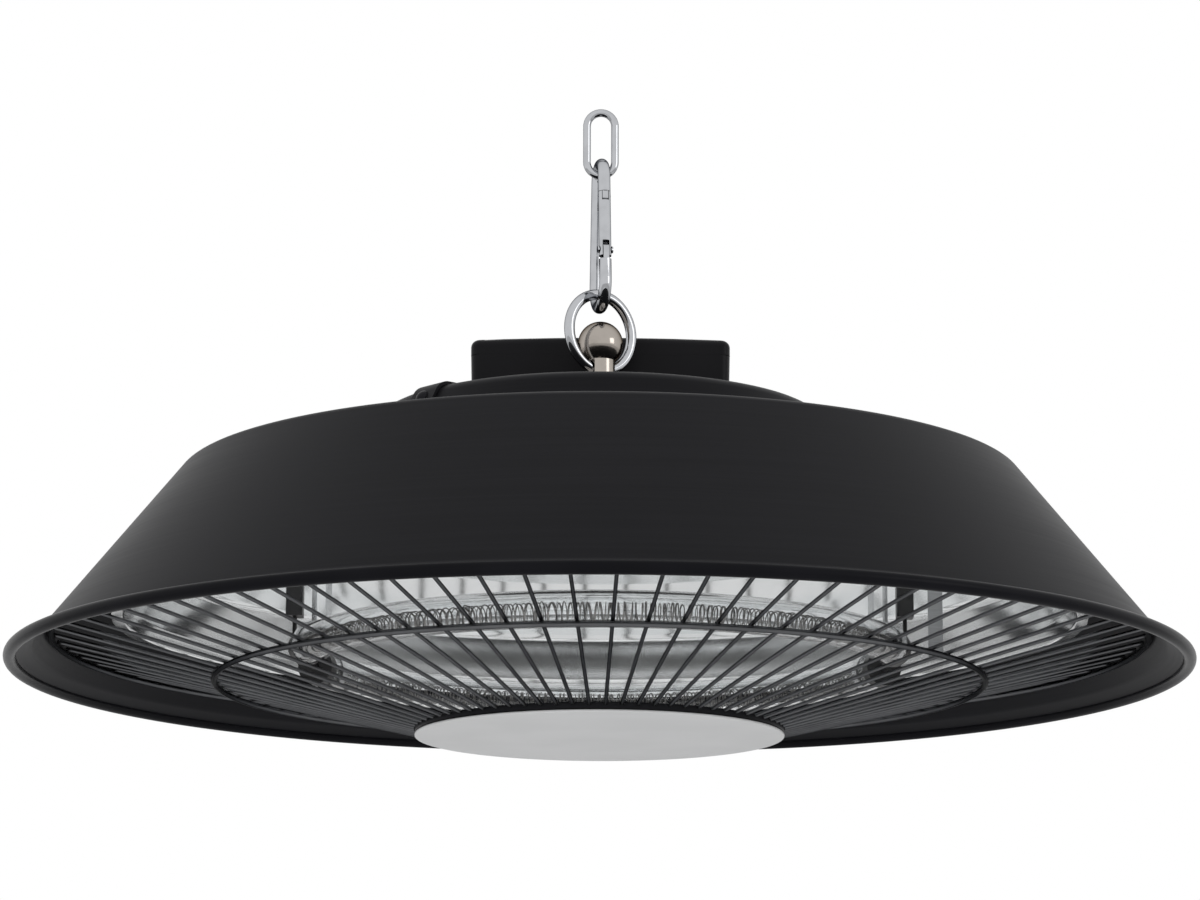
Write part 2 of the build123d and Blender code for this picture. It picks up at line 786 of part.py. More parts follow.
with BuildPart() as box_screws:
    lid_seat_level = box_split_level + box_lid_height - lid_recess
    with BuildSketch(level(lid_seat_level)):
        with Locations(*spacer_spots):
            Circle(lid_screw / 2)
    extrude(amount=box_split_level - lid_screw_reach + 1.0 - lid_seat_level)
    with BuildSketch(level(lid_seat_level)):
        with Locations(*spacer_spots):
            Circle(lid_screw_head / 2)
    extrude(amount=lid_recess - 0.3, taper=10)
keep(box_screws.part, "box_screws")

# Inside the box: board on its posts, relay, smoothing capacitor and terminals
board_level = box_floor_level + board_level_above_floor
board_thickness = 1.6
with BuildPart() as control_board:
    with BuildSketch(level(board_level)):
        with Locations((0, box_middle)):
            RectangleRounded(96.0, 44.0, 2.0)
            with GridLocations(72.0, 30.0, 2, 2):
                Circle(1.6, mode=Mode.SUBTRACT)
        with Locations(grommet_spot):
            Circle(9.0, mode=Mode.SUBTRACT)
    extrude(amount=board_thickness)
    with BuildSketch(level(board_level + board_thickness)):
        with Locations((-8.0, box_middle + 8.0)):
            Circle(5.0)
        with Locations((2.0, box_middle - 12.0)):
            Rectangle(12.0, 8.0)
    extrude(amount=9.0)
keep(control_board.part, "control_board")

with BuildPart() as power_relay:
    with BuildSketch(level(board_level + board_thickness)):
        with Locations((-30.0, box_middle - 8.0)):
            RectangleRounded(28.0, 12.6, 1.0)
    extrude(amount=15.5)
    fillet(power_relay.faces().sort_by(Axis.Z)[-1].edges(), radius=0.8)
keep(power_relay.part, "power_relay")

with BuildPart() as mains_terminals:
    terminal_count = 5
    terminal_pitch = 5.0
    with BuildSketch(level(board_level + board_thickness)):
        with Locations((26.0, box_middle - 12.0)):
            Rectangle(terminal_count * terminal_pitch, 9.0)
    extrude(amount=10.0)
    with BuildSketch(level(board_level + board_thickness + 10.0)):
        with Locations((26.0, box_middle - 12.0)):
            with GridLocations(terminal_pitch, 1, terminal_count, 1):
                Circle(1.9)
    extrude(amount=-6.0, mode=Mode.SUBTRACT)
keep(mains_terminals.part, "mains_terminals")

# Cord inlet in the back wall: body with hexagon, lock nut inside, dome nut outside
gland_spot = Vector(gland_x, box_front + box_depth, rim_z + box_floor_level + gland_rise)
gland_plane = Plane(origin=gland_spot, x_dir=(1, 0, 0), z_dir=(0, 1, 0))
gland_flange = 3.6
gland_inside = 9.0
gland_outside = 12.0
wall_lean_in = tan(radians(box_draft)) * (box_base_height - gland_rise) + 0.05
with BuildPart() as cord_gland:
    with BuildSketch(gland_plane.offset(-gland_inside)):
        Circle(gland_thread / 2)
    extrude(amount=gland_inside + gland_flange + gland_outside)
    with BuildSketch(gland_plane.offset(0.3)):
        RegularPolygon(gland_hex / 2, 6, major_radius=False)
    extrude(amount=gland_flange - 0.3)
    with BuildSketch(gland_plane.offset(-gland_inside)):
        Circle(gland_bore / 2)
    extrude(amount=gland_inside + gland_flange + gland_outside, mode=Mode.SUBTRACT)
keep(cord_gland.part, "cord_gland")

with BuildPart() as gland_nut:
    with BuildSketch(gland_plane.offset(gland_flange + 0.2)):
        RegularPolygon((gland_hex - 1) / 2, 6, major_radius=False)
        Circle(gland_thread / 2 + 0.05, mode=Mode.SUBTRACT)
    extrude(amount=7.0)
    with BuildSketch(gland_plane.offset(gland_flange + 7.2)):
        Circle((gland_hex - 1.4) / 2)
        Circle(gland_thread / 2 + 0.05, mode=Mode.SUBTRACT)
    extrude(amount=5.5)
    top_ring = gland_nut.faces().sort_by(Axis.Y)[-1].outer_wire().edges()
    chamfer(top_ring, length=2.4)
keep(gland_nut.part, "gland_nut")

with BuildPart() as gland_locknut:
    inner_face = -box_wall - wall_lean_in - 1.0
    with BuildSketch(gland_plane.offset(inner_face)):
        RegularPolygon(10.0, 6, major_radius=False)
        Circle(gland_thread / 2 + 0.05, mode=Mode.SUBTRACT)
    extrude(amount=-4.0)
keep(gland_locknut.part, "gland_locknut")

# Rubber grommet where the leads pass from the box into the cap
with BuildPart() as wire_grommet:
    floor_top = box_floor_level + box_wall
    with BuildSketch(
        Plane(
            origin=(grommet_spot[0], grommet_spot[1], rim_z), x_dir=(1, 0, 0), z_dir=(0, -1, 0)
        )
    ):
        with BuildLine():
            Polyline(
                (4.0, cap_top_level - sheet - 1.3),
                (7.6, cap_top_level - sheet - 1.3),
                (7.6, cap_top_level - sheet),
                (6.0, cap_top_level - sheet),
                (6.0, cap_top_level),
                (8.2, cap_top_level),
                (8.2, box_floor_level),
                (6.0, box_floor_level),
                (6.0, floor_top),
                (7.6, floor_top),
                (7.0, floor_top + 1.3),
                (4.0, floor_top + 1.3),
                close=True,
            )
        make_face()
    revolve(axis=Axis((grommet_spot[0], grommet_spot[1], 0), (0, 0, 1)))
keep(wire_grommet.part, "wire_grommet")

# Heating tubes: two half rings of quartz tube, one in front, one behind
half_span = tube_span / 2
tube_middles = (270.0, 90.0)
tube_plane = level(tube_level)


def ring_frame(angle, radius):
    """Plane across the tube ring at an angle: x outwards, y up."""
    return Plane(
        origin=around(radius, angle, tube_level),
        x_dir=Vector(cos(radians(angle)), sin(radians(angle)), 0),
        z_dir=Vector(sin(radians(angle)), -cos(radians(angle)), 0),
    )


with BuildPart() as quartz_tubes:
    for middle in tube_middles:
        with BuildSketch(ring_frame(middle - half_span, tube_ring_radius)):
            Circle(tube_diameter / 2)
            Circle(tube_diameter / 2 - tube_wall, mode=Mode.SUBTRACT)
        revolve(axis=Axis.Z, revolution_arc=tube_span)
keep(quartz_tubes.part, "quartz_tubes")

end_gap = 0.1
with BuildPart() as tube_end_caps:
    for middle in tube_middles:
        for side in (-1, 1):
            end = middle + side * half_span
            out_way = -side
            face = ring_frame(end, tube_ring_radius).offset(out_way * end_gap)
            with BuildSketch(face):
                Circle(tube_diameter / 2 + 0.3)
            extrude(amount=out_way * tube_cap_length)
            with BuildSketch(face.offset(out_way * tube_cap_length)):
                Circle(2.2)
            extrude(amount=out_way * 4.0)
keep(tube_end_caps.part, "tube_end_caps")


# the coil rests on the bottom of the tube's bore
coil_level = tube_level - (tube_diameter / 2 - tube_wall - coil_diameter / 2 - seat_gap)


def coil_point(middle, share):
    """Point and direction on a coil that winds along inside a tube."""
    room = degrees(coil_end_room / tube_ring_radius)
    span = radians(tube_span - 2 * room)
    turn = radians(middle) - span / 2 + span * share
    wind = 2 * pi * coil_turns * share
    small = (coil_diameter - coil_wire) / 2
    reach = tube_ring_radius + small * cos(wind)
    out = Vector(cos(turn), sin(turn), 0)
    along = Vector(-sin(turn), cos(turn), 0)
    up = Vector(0, 0, 1)
    spot = out * reach + up * (rim_z + coil_level + small * sin(wind))
    wind_rate = 2 * pi * coil_turns
    way = along * (reach * span) + (out * -sin(wind) + up * cos(wind)) * (small * wind_rate)
    return spot, way.normalized()


def biarc(start, start_way, end, end_way):
    """Middle point and direction of the two arcs that join two directed points."""
    chord = end - start
    sum_way = start_way + end_way
    a = 2 * (start_way.dot(end_way) - 1)
    b = -2 * chord.dot(sum_way)
    c = chord.dot(chord)
    reach = (-b - sqrt(b * b - 4 * a * c)) / (2 * a)
    first = start + start_way * reach
    last = end - end_way * reach
    return (first + last) * 0.5, (last - first).normalized()


quarter_turns = coil_turns * 4
coil_points = [coil_point(tube_middles[0], i / quarter_turns) for i in range(quarter_turns + 1)]
turn_gap = min(
    (coil_points[i + 4][0] - coil_points[i][0]).length for i in range(quarter_turns - 3)
) - coil_wire
print("least gap between the coil's turns", round(turn_gap, 2))

coils = []
for middle in tube_middles:
    with BuildPart() as one_coil:
        with BuildLine() as coil_path:
            for i in range(quarter_turns):
                start, start_way = coil_point(middle, i / quarter_turns)
                end, end_way = coil_point(middle, (i + 1) / quarter_turns)
                joint, joint_way = biarc(start, start_way, end, end_way)
                TangentArc(start, joint, tangent=start_way)
                TangentArc(joint, end, tangent=joint_way)
        with BuildSketch(Plane(origin=coil_path.line @ 0, z_dir=coil_path.line % 0)):
            RegularPolygon(coil_wire / 2, 4)
        sweep(path=coil_path.line, clean=False)
    coils.append(one_coil.part)
keep(Compound(children=coils), "heating_coils")

# Tube brackets: a spring clip round each tube end, on a leg under the reflector
bracket_strip = 1.0
bracket_width = 6.0
clip_inner = tube_diameter / 2 + 0.3
with BuildPart() as tube_brackets:
    for middle in tube_middles:
        for side in (-1, 1):
            at = middle + side * (half_span - 4.0)
            with BuildSketch(spoke_plane(at, tube_level)):
                with Locations((tube_ring_radius, 0)):
                    Circle(clip_inner + bracket_strip)
                    Circle(clip_inner, mode=Mode.SUBTRACT)
                    with Locations((0, -clip_inner)):
                        Rectangle(13.0, clip_inner * 0.9, mode=Mode.SUBTRACT)
                leg_low = clip_inner + bracket_strip / 2
                leg_high = reflector_level - tube_level - fit_gap
                with Locations((tube_ring_radius, (leg_low + leg_high) / 2)):
                    Rectangle(bracket_strip, leg_high - leg_low)
                with Locations((tube_ring_radius - 5.0, leg_high - bracket_strip / 2)):
                    Rectangle(11.0, bracket_strip)
            extrude(amount=bracket_width / 2, both=True)
keep(tube_brackets.part, "tube_brackets")

# Lead posts: black ceramic insulators that carry the ends of the supply leads
post_width = 8.6
post_depth = 11.0
post_angles = (180 + post_turn, -post_turn)
with BuildPart() as lead_posts:
    post_length = reflector_level - fit_gap - post_bottom_level
    for angle in post_angles:
        foot = Plane(origin=around(post_radius, angle, post_bottom_level), z_dir=(0, 0, 1))
        with BuildSketch(foot):
            RectangleRounded(post_width, post_depth, 1.2)
        extrude(amount=post_length)
        for rise in (16.0, 22.0, 28.0):
            with BuildSketch(foot.offset(rise)):
                Rectangle(post_width + 2, post_depth + 2)
                RectangleRounded(post_width - 1.6, post_depth - 1.6, 0.8, mode=Mode.SUBTRACT)
            extrude(amount=2.4, mode=Mode.SUBTRACT)
keep(lead_posts.part, "lead_posts")

# Lead wires: from each post down and round to the two tube ends beside it
with BuildPart() as lead_wires:
    for angle, ends in (
        (post_angles[0], ((270.0 - half_span, 1), (90.0 + half_span, -1))),
        (post_angles[1], ((270.0 + half_span, -1), (90.0 - half_span, 1))),
    ):
        foot = around(post_radius, angle, post_bottom_level)
        for end, way in ends:
            across = ring_frame(end, tube_ring_radius)
            beyond = across.z_dir * way
            stem = around(tube_ring_radius, end, tube_level) + beyond * (tube_cap_length + 4.2)
            lean = Vector(0, 2.6 * (1 if stem.Y > foot.Y else -1), 0)
            first = foot + lean - Vector(0, 0, fit_gap)
            with BuildLine() as lead_path:
                FilletPolyline(
                    first,
                    first - Vector(0, 0, 12.0),
                    stem + beyond * 7.0,
                    stem,
                    radius=(3.0, 3.0),
                )
            with BuildSketch(Plane(origin=lead_path.line @ 0, z_dir=lead_path.line % 0)):
                RegularPolygon(lead_diameter / 2, 8)
            sweep(path=lead_path.line)
keep(lead_wires.part, "lead_wires")

# Earth strap: flat strip beside the right-hand post, down to the tubes' level
with BuildPart() as earth_strap:
    strap_foot = Plane(origin=around(strap_radius, 0.0, tube_level - 1.0), z_dir=(0, 0, 1))
    slope_run = reflector_shoulder_radius - reflector_flat_radius
    slope_share = (strap_radius + 3.8 - reflector_flat_radius) / slope_run
    slope_level = reflector_level - reflector_shoulder_drop * slope_share
    with BuildSketch(strap_foot):
        Rectangle(7.5, 1.2)
    extrude(amount=slope_level - tube_level + 1.0 - 0.3)
keep(earth_strap.part, "earth_strap")

# Thermal cut-out on the reflector's back
with BuildPart() as thermal_cutout:
    cutout_spot = (64.0, -40.0)
    with BuildSketch(level(reflector_back)):
        with Locations(cutout_spot):
            SlotOverall(32.0, 8.0)
            with GridLocations(24.0, 1, 2, 1):
                Circle(1.6, mode=Mode.SUBTRACT)
    extrude(amount=1.0)
    with BuildSketch(level(reflector_back)):
        with Locations(cutout_spot):
            Circle(8.0)
    extrude(amount=7.0)
    with BuildSketch(level(reflector_back + 7.0)):
        with Locations(cutout_spot):
            with GridLocations(7.0, 1, 2, 1):
                Rectangle(0.8, 6.3)
    extrude(amount=5.0)
keep(thermal_cutout.part, "thermal_cutout")

# Ceramic junction block on the heat shield, opposite the box, where the tubes' leads
# meet the harness; its weight helps the heater to hang level
with BuildPart() as junction_block:
    block_ways = 4
    block_pitch = 15.0
    block_depth = 30.0
    with BuildSketch(level(shield_level + 6.0)):
        with Locations(junction_spot):
            Rectangle(block_ways * block_pitch, block_depth)
    extrude(amount=18.0)
    with BuildSketch(level(shield_level + 24.0)):
        with Locations(junction_spot):
            with GridLocations(block_pitch, block_depth * 0.45, block_ways, 2):
                Circle(3.0)
    extrude(amount=-9.0, mode=Mode.SUBTRACT)
    with BuildSketch(level(shield_level + 24.0)):
        with Locations(junction_spot):
            with GridLocations(block_pitch, 1, block_ways - 1, 1):
                Rectangle(2.0, block_depth + 1)
    extrude(amount=-5.0, mode=Mode.SUBTRACT)
keep(junction_block.part, "junction_block")

# Wire guard: straight radial wires over three rings, a shallow cone
seat = (guard_wire + guard_ring_wire) / 2 + fit_gap
# the wires lie on the ring, so their ends come nearest to the shade's wall
wire_top_level = guard_outer_level + seat + guard_wire / 2
guard_outer_radius = shade_inside(wire_top_level) - guard_wall_gap
guard_drop = guard_outer_level + seat - guard_hub_level
guard_lean = degrees(atan2(guard_drop, guard_outer_radius - guard_hub_radius))
wire_inner = guard_hub_radius + 0.25
wire_outer = guard_outer_radius - 0.2


def wire_level(radius):
    """Height of a guard wire's centre line at a radius."""
    outer_seat = guard_outer_radius - seat * sin(radians(guard_lean))
    outer_height = guard_outer_level + seat * cos(radians(guard_lean))
    return outer_height - (outer_seat - radius) * tan(radians(guard_lean))


with BuildPart() as guard_outer_ring:
    with BuildSketch(profile_plane):
        with Locations((guard_outer_radius, guard_outer_level)):
            RegularPolygon(guard_ring_wire / 2, 8)
    revolve(axis=Axis.Z)
keep(guard_outer_ring.part, "guard_outer_ring")

with BuildPart() as guard_middle_ring:
    middle_level = wire_level(guard_middle_radius) - seat / cos(radians(guard_lean))
    with BuildSketch(profile_plane):
        with Locations((guard_middle_radius, middle_level)):
            RegularPolygon(guard_ring_wire / 2, 8)
    revolve(axis=Axis.Z)
keep(guard_middle_ring.part, "guard_middle_ring")

with BuildPart() as guard_hub_ring:
    with BuildSketch(level(hub_ring_bottom)):
        Circle(guard_hub_radius)
        Circle(guard_hub_radius - hub_ring_width, mode=Mode.SUBTRACT)
    extrude(amount=hub_ring_height)
keep(guard_hub_ring.part, "guard_hub_ring")

with BuildPart() as guard_wires:
    wire_length = (wire_outer - wire_inner) / cos(radians(guard_lean))
    for i in range(guard_wire_count):
        angle = guard_first_wire + i * 360.0 / guard_wire_count
        inner_end = around(wire_inner, angle, wire_level(wire_inner))
        outer_end = around(wire_outer, angle, wire_level(wire_outer))
        with BuildSketch(Plane(origin=inner_end, z_dir=outer_end - inner_end)):
            RegularPolygon(guard_wire / 2, 6)
        extrude(amount=wire_length)
keep(guard_wires.part, "guard_wires")

# Clips welded inside the shade's wall that the outer ring snaps into
with BuildPart() as guard_clips:
    clip_thickness = 1.0
    clip_reach = 14.0
    foot_radius = guard_outer_radius - guard_ring_wire / 2 - 0.3
    step = 360.0 / guard_wire_count
    lift = (clip_thickness + 0.3) / sin(radians(wall_lean))
    # the leg meets the line that runs along the wall at this height
    knee_run = shade_inside(0) - lift - foot_radius
    knee_level = knee_run / wall_run
    for quarter in range(guard_clip_count):
        gap_number = round((45.0 + 90.0 * quarter - guard_first_wire) / step - 0.5) + 0.5
        angle = guard_first_wire + gap_number * step
        with BuildSketch(spoke_plane(angle)):
            with BuildLine():
                FilletPolyline(
                    (guard_outer_radius + 0.6, guard_outer_level - guard_ring_wire / 2 - 0.3),
                    (foot_radius, guard_outer_level - guard_ring_wire / 2 - 0.3),
                    (foot_radius, knee_level),
                    (foot_radius - clip_reach * wall_run, knee_level + clip_reach),
                    radius=(1.0, 1.5),
                )
                offset(amount=clip_thickness, side=Side.LEFT)
            make_face()
        extrude(amount=4.0, both=True)
keep(guard_clips.part, "guard_clips")

# Hub: black plate inside the hub ring, and the grey disc cover under both
hub_plate_level = hub_ring_bottom + 1.6
disc_stud_radius = 60.0
with BuildPart() as hub_plate:
    with BuildSketch(level(hub_plate_level)):
        Circle(guard_hub_radius - hub_ring_width - fit_gap)
        with PolarLocations(disc_stud_radius, disc_stud_count, start_angle=30):
            Circle(disc_stud_diameter / 2 + 0.2, mode=Mode.SUBTRACT)
    extrude(amount=sheet)
keep(hub_plate.part, "hub_plate")

disc_nut_height = 3.2
with BuildPart() as disc_cover:
    with BuildSketch(level(disc_level)):
        Circle(disc_radius)
    extrude(amount=disc_thickness)
    fillet(disc_cover.edges().group_by(Axis.Z)[0], radius=disc_thickness * 0.6)
    with BuildSketch(level(disc_level + disc_thickness)):
        with PolarLocations(disc_stud_radius, disc_stud_count, start_angle=30):
            Circle(disc_stud_diameter / 2)
    extrude(amount=hub_plate_level + sheet + disc_nut_height + 1.0 - disc_level - disc_thickness)
keep(disc_cover.part, "disc_cover")

with BuildPart() as disc_nuts:
    with BuildSketch(level(hub_plate_level + sheet)):
        with PolarLocations(disc_stud_radius, disc_stud_count, start_angle=30):
            RegularPolygon(3.5, 6, major_radius=False)
            Circle(disc_stud_diameter / 2 + 0.02, mode=Mode.SUBTRACT)
    extrude(amount=disc_nut_height)
keep(disc_nuts.part, "disc_nuts")

pivot = gate_plane.from_local_coords((bend, gate_pivot_rise))
print("gate pivot at", round(pivot.X, 3), round(pivot.Y, 3), round(pivot.Z, 3))
for piece in made:
    export_step(piece, f"parts/{piece.label}.step")
print("pieces written", len(made), "rim plane at", round(rim_z, 2))
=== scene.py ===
"""Hanging infrared patio heater: the visible surfaces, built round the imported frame."""

import json
import math

import bpy
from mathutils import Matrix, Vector, noise


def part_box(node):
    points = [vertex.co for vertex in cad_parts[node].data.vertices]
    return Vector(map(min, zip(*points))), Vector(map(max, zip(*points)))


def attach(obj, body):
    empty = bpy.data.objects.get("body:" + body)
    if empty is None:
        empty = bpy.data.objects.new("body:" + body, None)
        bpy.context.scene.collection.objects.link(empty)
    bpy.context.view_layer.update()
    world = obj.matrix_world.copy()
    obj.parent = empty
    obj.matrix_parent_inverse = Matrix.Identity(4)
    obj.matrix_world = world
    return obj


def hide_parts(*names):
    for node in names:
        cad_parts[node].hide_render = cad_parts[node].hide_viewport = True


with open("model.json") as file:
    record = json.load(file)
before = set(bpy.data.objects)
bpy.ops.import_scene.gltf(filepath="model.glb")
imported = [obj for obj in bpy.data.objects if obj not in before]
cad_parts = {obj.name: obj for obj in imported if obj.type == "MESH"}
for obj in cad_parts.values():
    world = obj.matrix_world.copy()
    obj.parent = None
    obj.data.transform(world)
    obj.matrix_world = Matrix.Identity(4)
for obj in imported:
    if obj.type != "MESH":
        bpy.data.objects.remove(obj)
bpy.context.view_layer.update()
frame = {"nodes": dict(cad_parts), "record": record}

MM = 0.001

# Sizes in metres, read from the frame where a node carries them. Heights called
# "rise" are counted from the plane of the rim.
SHEET = 1.0 * MM
BEAD_RADIUS = 3.3 * MM
BEAD_RISE = 2.5 * MM
RIM_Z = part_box("shade")[0].z + BEAD_RADIUS - BEAD_RISE
RIM_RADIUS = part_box("shade")[1].x
SHOULDER_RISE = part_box("shade")[1].z - RIM_Z
SHOULDER_RADIUS = 213.0 * MM
WALL_FOOT = (286.7 * MM, 8.0 * MM)
SHADE_OPENING = 100.0 * MM

CAP_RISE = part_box("top_cap")[1].z - RIM_Z
CAP_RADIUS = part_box("top_cap")[1].x
CAP_TOP_RADIUS = 113.5 * MM
CAP_FOOT_RADIUS = 129.0 * MM
CAP_BORE = 5.2 * MM

REFLECTOR_SHEET = 0.8 * MM
REFLECTOR_BORE = 10.0 * MM
REFLECTOR_LOW, REFLECTOR_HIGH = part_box("reflector")
LIP_RISE = REFLECTOR_LOW.z - RIM_Z
LIP_RADIUS = REFLECTOR_HIGH.x
CEILING_RISE = REFLECTOR_HIGH.z - RIM_Z - REFLECTOR_SHEET

WIRE_RADIUS = 1.0 * MM
WIRE_COUNT = 74
FIRST_WIRE = 271.8
GUARD_LEAN = math.atan2(45.0, 183.3)
RING_WIRE_RADIUS = 1.5 * MM
OUTER_RING_RADIUS = 276.8 * MM
OUTER_RING_RISE = 14.5 * MM
MIDDLE_RING_RADIUS = 195.0 * MM
HUB_RADIUS = 93.5 * MM

TUBE_RING_RADIUS = 150.0 * MM
TUBE_RISE = 9.0 * MM
TUBE_RADIUS = 9.0 * MM
TUBE_WALL = 1.5 * MM
TUBE_SPAN = 150.0
TUBE_MIDDLES = (270.0, 90.0)

DISC_THICKNESS = 1.5 * MM
DISC_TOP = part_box("disc_cover")[0].z + DISC_THICKNESS


# Camera, at the photograph's place: in front of the rim and a little below it
CAMERA_SPOT = Vector((0.9, -1927.9, -290.4)) * MM + Vector((0, 0, RIM_Z))
CAMERA_PITCH = math.radians(11.93)
CAMERA_ROLL = math.radians(0.14)
SENSOR_WIDTH = 36.0
FOCAL_PIXELS = 3830.4
PHOTO_WIDTH = 1200

bpy.ops.object.camera_add(location=CAMERA_SPOT)
camera = bpy.context.object
camera.data.sensor_width = SENSOR_WIDTH
camera.data.lens = FOCAL_PIXELS / PHOTO_WIDTH * SENSOR_WIDTH
camera.rotation_euler = (math.radians(90) + CAMERA_PITCH, -CAMERA_ROLL, 0)
bpy.context.scene.camera = camera
bpy.context.scene.view_settings.view_transform = "Standard"


# ---------------------------------------------------------------- finishes


class Wire:
    """A value inside a material. Arithmetic on it adds the Math nodes."""

    def __init__(self, socket):
        self.socket = socket
        self.tree = socket.id_data

    def math(self, operation, *others):
        node = self.tree.nodes.new("ShaderNodeMath")
        node.operation = operation
        for place, value in zip(node.inputs, (self, *others)):
            join(self.tree, value, place)
        return Wire(node.outputs[0])

    def __add__(self, other):
        return self.math("ADD", other)

    def __mul__(self, other):
        return self.math("MULTIPLY", other)

    def __sub__(self, other):
        return self.math("SUBTRACT", other)

    def __rsub__(self, other):
        return (self * -1.0).math("ADD", other)

    def __pow__(self, other):
        return self.math("POWER", other)

    def between(self, low, high):
        """0 below low, 1 above high, and a smooth rise in the middle."""
        node = self.tree.nodes.new("ShaderNodeMapRange")
        node.interpolation_type = "SMOOTHSTEP"
        join(self.tree, self, node.inputs["Value"])
        node.inputs["From Min"].default_value = low
        node.inputs["From Max"].default_value = high
        return Wire(node.outputs["Result"])


def join(tree, value, socket):
    """Links a wire to a socket, or sets the socket to a plain value."""
    if isinstance(value, Wire):
        tree.links.new(value.socket, socket)
    elif isinstance(value, (tuple, list)) and len(value) == 3 and socket.type == "RGBA":
        socket.default_value = (*value, 1.0)
    else:
        socket.default_value = value


class Finish:
    """A procedural material with one Principled shader."""

    def __init__(self, name):
        self.material = bpy.data.materials.new(name)
        self.material.use_nodes = True
        self.tree = self.material.node_tree
        self.shader = self.tree.nodes["Principled BSDF"]
        self.place = self.node("ShaderNodeTexCoord", out="Object")

    def node(self, kind, out=0, settings=None, **values):
        """Adds a node: its settings first, then the values or wires of its sockets."""
        node = self.tree.nodes.new(kind)
        for key, value in (settings or {}).items():
            setattr(node, key, value)
        for key, value in values.items():
            join(self.tree, value, node.inputs[key.replace("_", " ")])
        return Wire(node.outputs[out])

    def noise(self, scale, detail=2.0, place=None, stretch=(1, 1, 1)):
        """Soft random pattern, from 0 to 1, finer along the axes with a larger stretch."""
        spread = self.node("ShaderNodeMapping", Vector=place or self.place, Scale=stretch)
        return self.node("ShaderNodeTexNoise", Vector=spread, Scale=scale, Detail=detail)

    def mix(self, share, low, high):
        """A colour between two, by a share from 0 to 1."""
        node = self.tree.nodes.new("ShaderNodeMix")
        node.data_type = "RGBA"
        join(self.tree, share, node.inputs["Factor"])
        first, second = (place for place in node.inputs if place.type == "RGBA")
        join(self.tree, low, first)
        join(self.tree, high, second)
        return Wire(next(place for place in node.outputs if place.type == "RGBA"))

    def bump(self, height, distance, strength=1.0):
        """Normal from a height pattern, its full depth given in metres."""
        return self.node("ShaderNodeBump", Height=height, Distance=distance, Strength=strength)

    def height(self):
        """Height of the place, in metres."""
        parts = self.tree.nodes.new("ShaderNodeSeparateXYZ")
        self.tree.links.new(self.place.socket, parts.inputs[0])
        return Wire(parts.outputs["Z"])

    def turning(self):
        """Place on a turned surface: slow round the axis, fast along the profile."""
        parts = self.tree.nodes.new("ShaderNodeSeparateXYZ")
        self.tree.links.new(self.place.socket, parts.inputs[0])
        x, y, z = (Wire(socket) for socket in parts.outputs)
        along = (x * x + y * y) ** 0.5 - z
        return self.node("ShaderNodeCombineXYZ", X=x, Y=y, Z=along)

    def surface(self, **values):
        """Sets or links the shader's sockets, and gives the material."""
        for key, value in values.items():
            join(self.tree, value, self.shader.inputs[key.replace("_", " ")])
        return self.material


def satin_black(name, tone, rough, lines=True):
    """Black powder coat over spun steel, with faint lines from the spinning."""
    coat = Finish(name)
    place = coat.turning() if lines else coat.place
    streaks = coat.noise(9.0, 3.0, place, (0.6, 0.6, 38.0))
    fine = coat.noise(30.0, 2.0, place, (0.5, 0.5, 30.0))
    grain = coat.noise(2600.0, 1.0)
    cloud = coat.noise(7.0, 3.0)
    light = streaks * 0.35 + fine * 0.2 + cloud * 0.45
    pale = tuple(channel * 1.12 for channel in tone)
    deep = tuple(channel * 0.88 for channel in tone)
    height = grain * 0.02 + fine * 0.05 + streaks * 0.3
    return coat.surface(
        Base_Color=coat.mix(light.between(0.36, 0.64), deep, pale),
        Specular_IOR_Level=0.05,
        Specular_Tint=(0.94, 0.92, 1.0),
        Roughness=light * 0.22 + (rough - 0.11),
        Normal=coat.bump(height, 0.08 * MM, 0.7),
    )


def bright_plate(name, tone, painted_edge_shade, rough):
    """Bright nickel or zinc plate with a little haze; its reflections are tinted dark towards its
    edges as painted shade.
    """
    plate = Finish(name)
    haze = plate.noise(160.0, 3.0)
    marks = plate.noise(420.0, 2.0, stretch=(1, 1, 0.15))
    dull = tuple(channel * 0.9 for channel in tone)
    return plate.surface(
        Base_Color=plate.mix(haze.between(0.35, 0.75), tone, dull),
        Metallic=1.0,
        # Dark edge tint: painted shade on the reflections towards the edges.
        Specular_Tint=painted_edge_shade,
        Roughness=haze * 0.06 + marks * 0.03 + (rough - 0.045),
        Normal=plate.bump(marks, 0.004 * MM, 0.25),
    )


def moulded(name, tone, rough, grain=900.0, depth=0.03, shine=0.3):
    """Moulded plastic with a fine spark-eroded texture."""
    plastic = Finish(name)
    texture = plastic.noise(grain, 2.0)
    cloud = plastic.noise(25.0, 2.0)
    pale = tuple(channel * 1.3 for channel in tone)
    return plastic.surface(
        Base_Color=plastic.mix(cloud.between(0.3, 0.7), tone, pale),
        Roughness=texture * 0.12 + (rough - 0.06),
        Specular_IOR_Level=shine,
        Normal=plastic.bump(texture, depth * MM, 0.5),
    )


def glazed(name, tone, rough):
    """Fired ceramic: pale body with small specks and a soft gloss."""
    clay = Finish(name)
    specks = clay.noise(700.0, 2.0).between(0.66, 0.74)
    cloud = clay.noise(60.0, 3.0)
    dark = tuple(channel * 0.6 for channel in tone)
    return clay.surface(
        Base_Color=clay.mix(specks * 0.5, tone, dark),
        Roughness=cloud * 0.2 + rough,
        Normal=clay.bump(cloud, 0.05 * MM, 0.3),
    )


